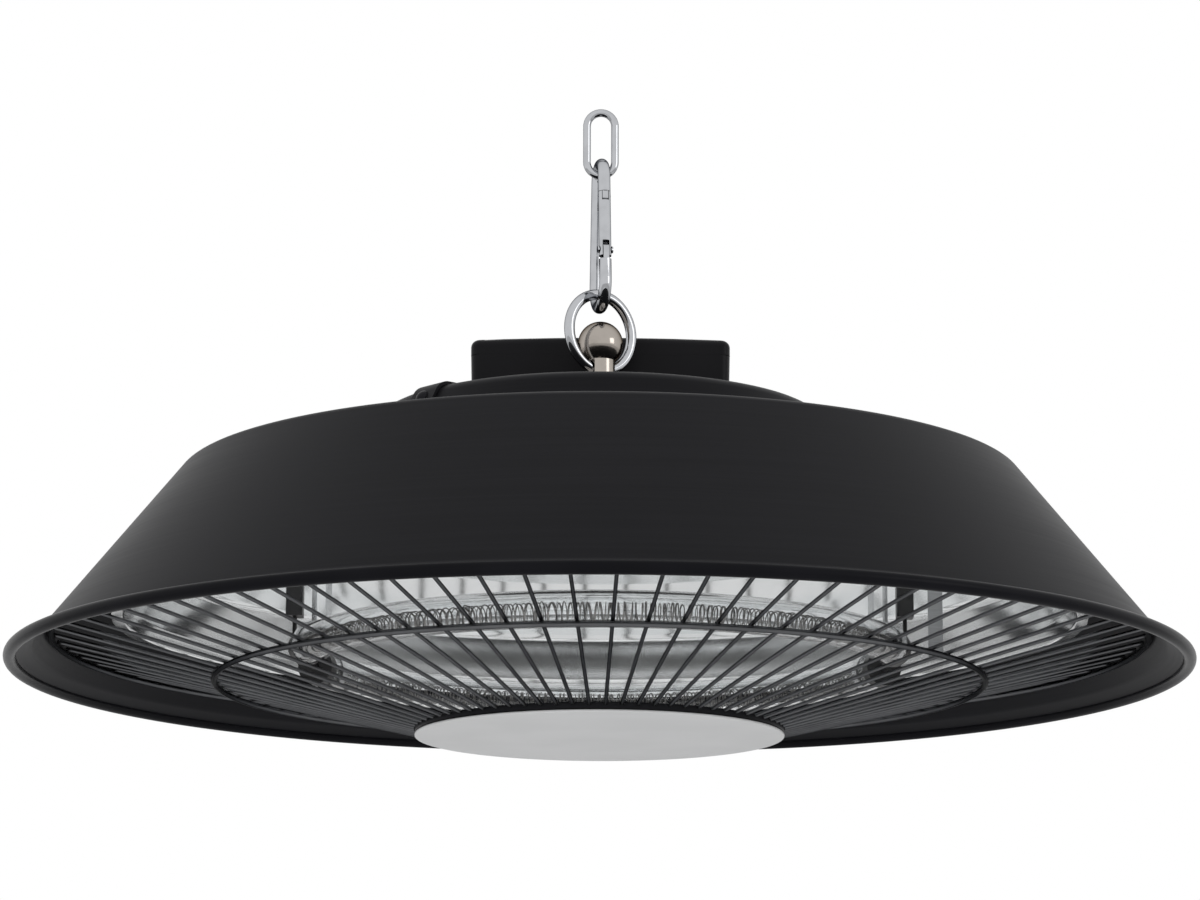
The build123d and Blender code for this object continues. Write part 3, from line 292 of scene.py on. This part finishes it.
def sheet_metal(name, tone, rough, brushed=(1, 1, 40), painted_edge_shade=(1, 1, 1)):
    """Bare sheet or wire, faintly brushed; a dark edge tint, where given, darkens its reflections
    towards the edges as painted shade.
    """
    metal = Finish(name)
    lines = metal.noise(90.0, 3.0, stretch=brushed)
    cloud = metal.noise(30.0, 3.0)
    dark = tuple(channel * 0.75 for channel in tone)
    return metal.surface(
        Base_Color=metal.mix((lines * 0.5 + cloud * 0.5).between(0.35, 0.65), tone, dark),
        Metallic=1.0,
        # A dark edge tint here is painted shade on the reflections towards the edges.
        Specular_Tint=painted_edge_shade,
        Roughness=lines * 0.15 + cloud * 0.1 + (rough - 0.1),
        Normal=metal.bump(lines, 0.01 * MM, 0.4),
    )


def mirror_aluminium():
    """The reflector: rolled bright aluminium, slightly wavy, faintly streaked."""
    mirror = Finish("reflector_mirror")
    waves = mirror.noise(14.0, 2.0)
    streaks = mirror.noise(20.0, 3.0, mirror.turning(), (0.5, 0.5, 30.0))
    haze = mirror.noise(45.0, 4.0)
    return mirror.surface(
        Base_Color=mirror.mix(haze.between(0.4, 0.7), (0.93, 0.945, 0.95), (0.88, 0.90, 0.905)),
        Metallic=1.0,
        Roughness=streaks * 0.06 + haze * 0.05 + 0.065,
        Normal=mirror.bump(waves, 0.1 * MM, 0.25),
    )


def clear_quartz():
    """Quartz tube: clear, with a faint milky haze in places."""
    glass = Finish("clear_quartz")
    haze = glass.noise(60.0, 3.0)
    return glass.surface(
        Base_Color=(0.97, 0.98, 0.985),
        Transmission_Weight=1.0,
        IOR=1.46,
        Roughness=haze.between(0.5, 0.8) * 0.06,
    )


def disc_paint():
    """Matte grey heat paint on the disc, its upper side coloured near black as painted shade."""
    paint = Finish("disc_grey_paint")
    grain = paint.noise(1500.0, 2.0)
    cloud = paint.noise(18.0, 3.0)
    # Painted shade: the disc's upper side is coloured near black.
    painted_shade_upper = paint.height().between(DISC_TOP - 0.2 * MM, DISC_TOP - 0.1 * MM)
    painted = paint.mix(cloud.between(0.3, 0.7), (0.64, 0.644, 0.65), (0.60, 0.605, 0.61))
    return paint.surface(
        Base_Color=paint.mix(painted_shade_upper, painted, (0.02, 0.019, 0.018)),
        Roughness=grain * 0.12 + 0.5,
        Specular_IOR_Level=0.3,
        Normal=paint.bump(grain, 0.02 * MM, 0.6),
    )


def circuit_laminate():
    """Circuit board: green mask over darker copper runs."""
    board = Finish("circuit_green")
    runs = board.noise(240.0, 0.0, stretch=(1, 0.2, 1)).between(0.5, 0.53)
    return board.surface(
        Base_Color=board.mix(runs, (0.02, 0.14, 0.06), (0.03, 0.22, 0.10)),
        Roughness=runs * 0.1 + 0.25,
        Normal=board.bump(runs, 0.04 * MM, 0.5),
    )


BLACK = (0.0115, 0.0116, 0.013)
finishes = {
    "black_coat": satin_black("satin_black", BLACK, 0.42),
    "black_hardware": satin_black("black_hardware", (0.016, 0.016, 0.018), 0.3, lines=False),
    # bright_steel and ball_nickel take dark edge tints: painted shade on their reflections
    # towards the edges.
    "bright_steel": bright_plate("bright_steel", (0.5, 0.51, 0.53), (0.05, 0.05, 0.052), 0.07),
    "ball_nickel": bright_plate("ball_nickel", (0.4, 0.365, 0.33), (0.06, 0.055, 0.05), 0.15),
    "spring_steel": sheet_metal("spring_steel", (0.5, 0.5, 0.52), 0.25),
    "zinc_hardware": sheet_metal("zinc_hardware", (0.66, 0.66, 0.68), 0.32),
    # guard_metal's dark edge tint is painted shade on the wires' reflections towards their edges.
    "guard_metal": sheet_metal("guard_plate", (0.15, 0.153, 0.16), 0.3, painted_edge_shade=(0.08, 0.08, 0.08)),
    "disc_grey": disc_paint(),
    "box_black": moulded("box_black", (0.008, 0.0078, 0.009), 0.34, depth=0.012, shine=0.08),
    "board_green": circuit_laminate(),
    "component_dark": moulded("component_dark", (0.03, 0.03, 0.035), 0.45),
    "terminal_grey": moulded("terminal_grey", (0.3, 0.31, 0.32), 0.45),
    "seal_rubber": moulded("seal_rubber", (0.015, 0.015, 0.015), 0.7),
    "insulator_white": glazed("insulator_white", (0.74, 0.72, 0.68), 0.35),
    "insulator_black": glazed("insulator_black", (0.02, 0.02, 0.021), 0.3),
    "reflector_bright": mirror_aluminium(),
    "plain_steel": sheet_metal("plain_steel", (0.5, 0.51, 0.52), 0.35),
    "quartz": clear_quartz(),
    # The bead's near-black tone and low shine are painted shade on the rolled bead.
    "bead_painted_shade": moulded("bead_painted_shade", (0.006, 0.006, 0.0075), 0.3, shine=0.04),
    # The hub plate's near-black tone is painted shade on the hub plate.
    "hub_plate_painted_shade": moulded("hub_plate_painted_shade", (0.016, 0.014, 0.013), 0.55, shine=0.08),
    "heating_wire": sheet_metal("heating_wire", (0.30, 0.29, 0.28), 0.45),
    "clip_steel": sheet_metal("clip_steel", (0.68, 0.69, 0.70), 0.22),
    "lead_black": moulded("lead_black", (0.014, 0.014, 0.014), 0.45, grain=500.0),
}
slots = {entry["node"]: entry["material_slot"] for entry in frame["record"]["subparts"]}
for node, thing in frame["nodes"].items():
    thing.data.materials.clear()
    thing.data.materials.append(finishes[slots[node]])


# ---------------------------------------------------------------- modelling


def nothing_selected():
    if bpy.context.object and bpy.context.object.mode != "OBJECT":
        bpy.ops.object.mode_set(mode="OBJECT")
    bpy.ops.object.select_all(action="DESELECT")


def pick(*things):
    """Selects these objects, the first of them active."""
    nothing_selected()
    for thing in things:
        thing.select_set(True)
    bpy.context.view_layer.objects.active = things[0]


def edit_all(thing):
    pick(thing)
    bpy.ops.object.mode_set(mode="EDIT")
    bpy.ops.mesh.select_all(action="SELECT")


def finish_edit():
    """Closes seams, turns the faces outwards and leaves edit mode."""
    bpy.ops.mesh.select_all(action="SELECT")
    bpy.ops.mesh.remove_doubles(threshold=0.004 * MM)
    bpy.ops.mesh.normals_make_consistent(inside=False)
    bpy.ops.object.mode_set(mode="OBJECT")


def shape_with(thing, kind, **settings):
    """Adds a modifier and applies it at once."""
    pick(thing)
    modifier = thing.modifiers.new(kind.title(), kind)
    for key, value in settings.items():
        setattr(modifier, key, value)
    bpy.ops.object.modifier_apply(modifier=modifier.name)


def deliver(thing, name, node, *more_nodes, body="heater_body", smooth=32.0):
    """Names a piece, smooths it, and puts it in place of its CAD nodes."""
    pick(thing)
    bpy.ops.object.transform_apply(location=True, rotation=True, scale=True)
    bpy.ops.object.shade_smooth_by_angle(angle=math.radians(smooth))
    shape_with(thing, "WEIGHTED_NORMAL", keep_sharp=True)
    thing.name = name
    thing.data.name = name
    thing.data.materials.clear()
    thing.data.materials.append(finishes[slots[node]])
    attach(thing, body)
    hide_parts(node, *more_nodes)
    return thing


def rounded(corners, radii, steps=6):
    """An outline's points, each inner corner rounded to its radius."""
    points = [Vector(corners[0])]
    for before, corner, after, radius in zip(corners, corners[1:], corners[2:], radii):
        middle = Vector(corner)
        back, on = (Vector(before) - middle).normalized(), (Vector(after) - middle).normalized()
        half = back.angle(on) / 2
        centre = middle + (back + on).normalized() * radius / math.sin(half)
        start = middle + back * radius / math.tan(half) - centre
        end = middle + on * radius / math.tan(half) - centre
        for step in range(steps + 1):
            points.append(centre + start.lerp(end, step / steps).normalized() * radius)
    return points + [Vector(corners[-1])]


def thickened(points, thickness):
    """A closed outline: the points, and back along them at a sheet's thickness."""
    inner = []
    for i, point in enumerate(points):
        before = (point - points[i - 1]).normalized() if i else None
        after = (points[i + 1] - point).normalized() if i + 1 < len(points) else None
        way = ((before or after) + (after or before)).normalized()
        half = (before or after).dot(way)
        inner.append(point + Vector((way.y, -way.x)) * thickness / half)
    return points + inner[::-1]


def lathe(outline, segments=256):
    """Turns a closed outline of (radius, rise) points round the upright axis."""
    nothing_selected()
    radius, rise = outline[0]
    bpy.ops.mesh.primitive_circle_add(
        vertices=segments, radius=radius, location=(0, 0, RIM_Z + rise)
    )
    thing = bpy.context.object
    bpy.ops.object.transform_apply(location=True)
    edit_all(thing)
    for wide, high in (*outline[1:], outline[0]):
        bpy.ops.mesh.extrude_edges_move()
        bpy.ops.transform.resize(
            value=(wide / radius, wide / radius, 1), center_override=(0, 0, RIM_Z + rise)
        )
        bpy.ops.transform.translate(value=(0, 0, high - rise))
        radius, rise = wide, high
    finish_edit()
    return thing


def torus(ring_radius, wire_radius, rise, around=256, across=20):
    nothing_selected()
    bpy.ops.mesh.primitive_torus_add(
        major_segments=around,
        minor_segments=across,
        major_radius=ring_radius,
        minor_radius=wire_radius,
        location=(0, 0, RIM_Z + rise),
    )
    return bpy.context.object


def merged_copy(node, bevel=0.0):
    """A copy of a CAD node with its loose triangles joined and its flats cleaned up."""
    pick(frame["nodes"][node])
    bpy.ops.object.duplicate()
    thing = bpy.context.object
    thing.parent = None
    edit_all(thing)
    bpy.ops.mesh.remove_doubles(threshold=0.002 * MM)
    bpy.ops.mesh.dissolve_limited(angle_limit=math.radians(0.6))
    bpy.ops.object.mode_set(mode="OBJECT")
    if bevel:
        shape_with(
            thing,
            "BEVEL",
            width=bevel,
            segments=2,
            limit_method="ANGLE",
            angle_limit=math.radians(50.0),
        )
    return thing


# Shade: shoulder, slanting wall, turned-out foot and rolled bead
bead_centre = (RIM_RADIUS - BEAD_RADIUS, BEAD_RISE)
shade_sheet = rounded(
    ((SHADE_OPENING, SHOULDER_RISE), (SHOULDER_RADIUS, SHOULDER_RISE), WALL_FOOT, bead_centre),
    (7.0 * MM, 5.0 * MM),
)
shade = lathe(thickened(shade_sheet, SHEET))
bead = torus(bead_centre[0], BEAD_RADIUS, BEAD_RISE)
pick(shade, bead)
bpy.ops.object.join()
deliver(shade, "spun_shade", "shade")
# The bead's faces take a blacker, duller colour than the wall: painted shade on the rolled bead
shade.data.materials.append(finishes["bead_painted_shade"])
for face in shade.data.polygons:
    across = Vector((face.center.xy.length - bead_centre[0], face.center.z - RIM_Z - BEAD_RISE))
    if across.length < BEAD_RADIUS * 1.02:
        face.material_index = 1

# Top cap with its flange
cap_sheet = rounded(
    (
        (CAP_BORE, CAP_RISE),
        (CAP_TOP_RADIUS, CAP_RISE),
        (CAP_FOOT_RADIUS, SHOULDER_RISE + SHEET),
        (CAP_RADIUS, SHOULDER_RISE + SHEET),
    ),
    (8.0 * MM, 3.0 * MM),
)
deliver(lathe(thickened(cap_sheet, SHEET)), "pressed_cap", "top_cap")

# Reflector dish
dish_sheet = rounded(
    (
        (REFLECTOR_BORE, CEILING_RISE),
        (165.0 * MM, CEILING_RISE),
        (231.0 * MM, CEILING_RISE - 19.0 * MM),
        (237.5 * MM, LIP_RISE + 8.0 * MM),
        (241.0 * MM, LIP_RISE),
        (LIP_RADIUS, LIP_RISE),
    ),
    (14.0 * MM, 6.0 * MM, 5.0 * MM, 1.5 * MM),
)
deliver(lathe(thickened(dish_sheet, -REFLECTOR_SHEET)), "polished_dish", "reflector")

# Guard: one wire is modelled and copied round, over round-wire rings
SEAT = WIRE_RADIUS + RING_WIRE_RADIUS + 0.05 * MM


def wire_rise(radius):
    """Rise of a guard wire's centre line at a radius."""
    seat_radius = OUTER_RING_RADIUS - SEAT * math.sin(GUARD_LEAN)
    seat_rise = OUTER_RING_RISE + SEAT * math.cos(GUARD_LEAN)
    return seat_rise - (seat_radius - radius) * math.tan(GUARD_LEAN)


wire_start, wire_end = HUB_RADIUS + 0.25 * MM, OUTER_RING_RADIUS - 0.2 * MM
wire_middle = (wire_start + wire_end) / 2
first_turn = math.radians(FIRST_WIRE)
nothing_selected()
bpy.ops.mesh.primitive_cylinder_add(
    vertices=12,
    radius=WIRE_RADIUS,
    depth=(wire_end - wire_start) / math.cos(GUARD_LEAN),
    location=(
        wire_middle * math.cos(first_turn),
        wire_middle * math.sin(first_turn),
        RIM_Z + wire_rise(wire_middle),
    ),
    rotation=(0, math.pi / 2 - GUARD_LEAN, first_turn),
)
wires = bpy.context.object
bpy.ops.object.transform_apply(location=True, rotation=True)
shape_with(wires, "BEVEL", width=0.3 * MM, segments=2, limit_method="ANGLE")
edit_all(wires)
bpy.ops.mesh.spin(
    steps=WIRE_COUNT, dupli=True, angle=2 * math.pi, center=(0, 0, 0), axis=(0, 0, 1)
)
finish_edit()
deliver(wires, "guard_wires_round", "guard_wires")

middle_ring_rise = wire_rise(MIDDLE_RING_RADIUS) - SEAT / math.cos(GUARD_LEAN)
for radius, rise, name, node in (
    (OUTER_RING_RADIUS, OUTER_RING_RISE, "guard_rim_ring", "guard_outer_ring"),
    (MIDDLE_RING_RADIUS, middle_ring_rise, "guard_mid_ring", "guard_middle_ring"),
):
    deliver(torus(radius, RING_WIRE_RADIUS, rise), name, node)

# Hub ring and the grey disc, their edges eased
hub_low, hub_high = (corner.z - RIM_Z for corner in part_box("guard_hub_ring"))
hub_inner = HUB_RADIUS - 5.5 * MM
hub_ring = lathe(
    [(hub_inner, hub_low), (HUB_RADIUS, hub_low), (HUB_RADIUS, hub_high), (hub_inner, hub_high)]
)
shape_with(hub_ring, "BEVEL", width=0.8 * MM, segments=3, limit_method="ANGLE", angle_limit=0.9)
deliver(hub_ring, "hub_band", "guard_hub_ring")

disc_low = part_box("disc_cover")[0].z - RIM_Z
disc_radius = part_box("disc_cover")[1].x
disc = lathe(
    [
        (0.5 * MM, disc_low),
        (disc_radius, disc_low),
        (disc_radius, disc_low + DISC_THICKNESS),
        (0.5 * MM, disc_low + DISC_THICKNESS),
    ]
)
nothing_selected()
for vertex in disc.data.vertices:
    if vertex.co.xy.length < 1.0 * MM:
        vertex.co.x = vertex.co.y = 0.0
edit_all(disc)
finish_edit()
shape_with(disc, "BEVEL", width=0.7 * MM, segments=4, limit_method="ANGLE", angle_limit=0.9)
nothing_selected()
studs = merged_copy("disc_cover")
edit_all(studs)
bpy.ops.mesh.bisect(
    plane_co=(0, 0, DISC_TOP - 0.1 * MM), plane_no=(0, 0, 1), clear_inner=True
)
finish_edit()
pick(disc, studs)
bpy.ops.object.join()
deliver(disc, "grey_disc", "disc_cover")


# Quartz tubes: a circle swept round each half of the ring, then given its wall
def half_ring(radius, middle, span, segments=40, steps=120):
    """A round tube's skin along an arc of the tube ring."""
    start = math.radians(middle - span / 2)
    nothing_selected()
    bpy.ops.mesh.primitive_circle_add(
        vertices=segments,
        radius=radius,
        location=(
            TUBE_RING_RADIUS * math.cos(start),
            TUBE_RING_RADIUS * math.sin(start),
            RIM_Z + TUBE_RISE,
        ),
        rotation=(math.pi / 2, 0, start),
    )
    thing = bpy.context.object
    bpy.ops.object.transform_apply(location=True, rotation=True)
    edit_all(thing)
    bpy.ops.mesh.spin(steps=steps, angle=-math.radians(span), center=(0, 0, 0), axis=(0, 0, 1))
    finish_edit()
    return thing


tubes = [half_ring(TUBE_RADIUS, middle, TUBE_SPAN) for middle in TUBE_MIDDLES]
pick(*tubes)
bpy.ops.object.join()
shape_with(tubes[0], "SOLIDIFY", thickness=TUBE_WALL, offset=-1.0)
deliver(tubes[0], "glass_tubes", "quartz_tubes", smooth=50.0)

# Heating coils: a straight helix, wound close and uneven, then bent along the tube
COIL_RADIUS = 5.1 * MM
COIL_WIRE = 0.32 * MM
COIL_TURNS = 176
COIL_STEPS = 16
coil_length = TUBE_RING_RADIUS * math.radians(TUBE_SPAN - 7.0)
coil_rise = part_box("heating_coils")[0].z - RIM_Z + COIL_RADIUS + 0.4 * MM
pitch = coil_length / COIL_TURNS
coils = []
for middle in TUBE_MIDDLES:
    nothing_selected()
    bpy.ops.mesh.primitive_circle_add(
        vertices=5, radius=COIL_WIRE, location=(COIL_RADIUS, 0, 0), rotation=(math.pi / 2, 0, 0)
    )
    coil = bpy.context.object
    bpy.ops.object.transform_apply(location=True, rotation=True)
    shape_with(
        coil,
        "SCREW",
        axis="Z",
        screw_offset=pitch,
        iterations=COIL_TURNS,
        steps=COIL_STEPS,
        render_steps=COIL_STEPS,
        use_merge_vertices=True,
    )
    start = math.radians(middle - TUBE_SPAN / 2 + 3.5)
    for vertex in coil.data.vertices:
        x, y, along = vertex.co
        turn = along / pitch
        squeeze = noise.noise(Vector((turn * 0.83, middle, 0.0)))
        sway = noise.noise(Vector((turn * 0.61, middle, 7.0)))
        lift = noise.noise(Vector((turn * 0.37, middle, 13.0)))
        swell = 0.94 + 0.16 * squeeze
        angle = start + (along + pitch * 1.5 * sway) / TUBE_RING_RADIUS
        reach = TUBE_RING_RADIUS + x * swell
        height = y * swell + 0.5 * MM * lift
        vertex.co = (reach * math.cos(angle), reach * math.sin(angle), RIM_Z + coil_rise + height)
    edit_all(coil)
    finish_edit()
    coils.append(coil)
pick(*coils)
bpy.ops.object.join()
deliver(coils[0], "close_coils", "heating_coils", smooth=60.0)

# Hanging ring, turned anew at its own angle
ring_low, ring_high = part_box("hanging_ring")
RING_WIRE = 5.5 * MM
RING_TURN = math.radians(37.0)
ring_span = (ring_high.z - ring_low.z) / 2 - RING_WIRE / 2
nothing_selected()
bpy.ops.mesh.primitive_torus_add(
    major_segments=128,
    minor_segments=32,
    major_radius=ring_span,
    minor_radius=RING_WIRE / 2,
    location=(ring_low + ring_high) / 2,
    rotation=(math.pi / 2, 0, RING_TURN),
)
deliver(bpy.context.object, "welded_ring", "hanging_ring", body="ring_body")

# Copies of CAD nodes: some darker than their slots, some with their edges eased, in mm
# The hub plate's near-black copy is painted shade; the tube caps' black is a guess at their own
# colour.
DARKER = {"hub_plate": "hub_plate_painted_shade", "tube_end_caps": "insulator_black"}
EASED = {"box_base": 0.4, "box_lid": 0.4, "hanger_strap": 0.3, "hook_gate": 0.25}
for body, copied in (
    ("link_body", ("chain_link",)),
    ("hook_body", ("snap_hook", "gate_rivet")),
    ("gate_body", ("hook_gate", "latch_pin")),
    (
        "heater_body",
        (
            "ball_stud",
            "hanger_strap",
            "strap_screws",
            "cap_screws",
            "box_base",
            "box_lid",
            "box_spacers",
            "tube_brackets",
            "tube_end_caps",
            "lead_posts",
            "lead_wires",
            "guard_clips",
            "hub_plate",
            "cord_gland",
            "gland_nut",
            "earth_strap",
        ),
    ),
):
    for node in copied:
        eased = EASED.get(node, 0.0) * MM
        copy = deliver(merged_copy(node, eased), node + "_smooth", node, body=body)
        if node in DARKER:
            copy.data.materials[0] = finishes[DARKER[node]]


# ---------------------------------------------------------------- studio

FLOOR_DROP = 0.9
nothing_selected()
bpy.ops.mesh.primitive_plane_add(size=14.0, location=(0, 0, RIM_Z - FLOOR_DROP))
floor = bpy.context.object
floor.name = "studio_floor"
pale = Finish("pale_floor")
floor.data.materials.append(
    pale.surface(Base_Color=(0.88, 0.88, 0.88), Roughness=0.9, Specular_IOR_Level=0.1)
)

# Square softboxes aimed at the rim's middle: place, side and power, and whether
# reflections show them
AIM = Vector((0, 0, RIM_Z))
LAMPS = (
    ("softbox_above", (0.0, -0.2, 1.4), 1.6, 3.0, False),
    ("softbox_front", (-0.9, -2.4, -0.6), 1.4, 9.0, False),
    ("softbox_below", (-0.1, -1.1, -1.12), 1.2, 4.5, False),
    ("softbox_side", (2.2, -1.2, 0.3), 1.0, 6.0, True),
)
for name, spot, side, power, mirrored in LAMPS:
    nothing_selected()
    bpy.ops.object.light_add(type="AREA", location=spot)
    lamp = bpy.context.object
    lamp.name = name
    lamp.data.shape = "RECTANGLE"
    lamp.data.size = lamp.data.size_y = side
    lamp.data.energy = power
    lamp.visible_glossy = mirrored
    lamp.rotation_euler = (AIM - Vector(spot)).to_track_quat("-Z", "Y").to_euler()

world = bpy.data.worlds.new("studio_air")
bpy.context.scene.world = world
world.use_nodes = True
air = world.node_tree
rays = air.nodes.new("ShaderNodeLightPath")
# White to the camera, in metal and through glass; a softer level as light
SOFT_LEVEL = 0.7
seen = Wire(rays.outputs["Is Camera Ray"])
for kind in ("Is Glossy Ray", "Is Transmission Ray"):
    seen = seen.math("MAXIMUM", Wire(rays.outputs[kind]))
background = air.nodes["Background"]
background.inputs["Color"].default_value = (1, 1, 1, 1)
join(air, seen + (1.0 - seen) * SOFT_LEVEL, background.inputs["Strength"])
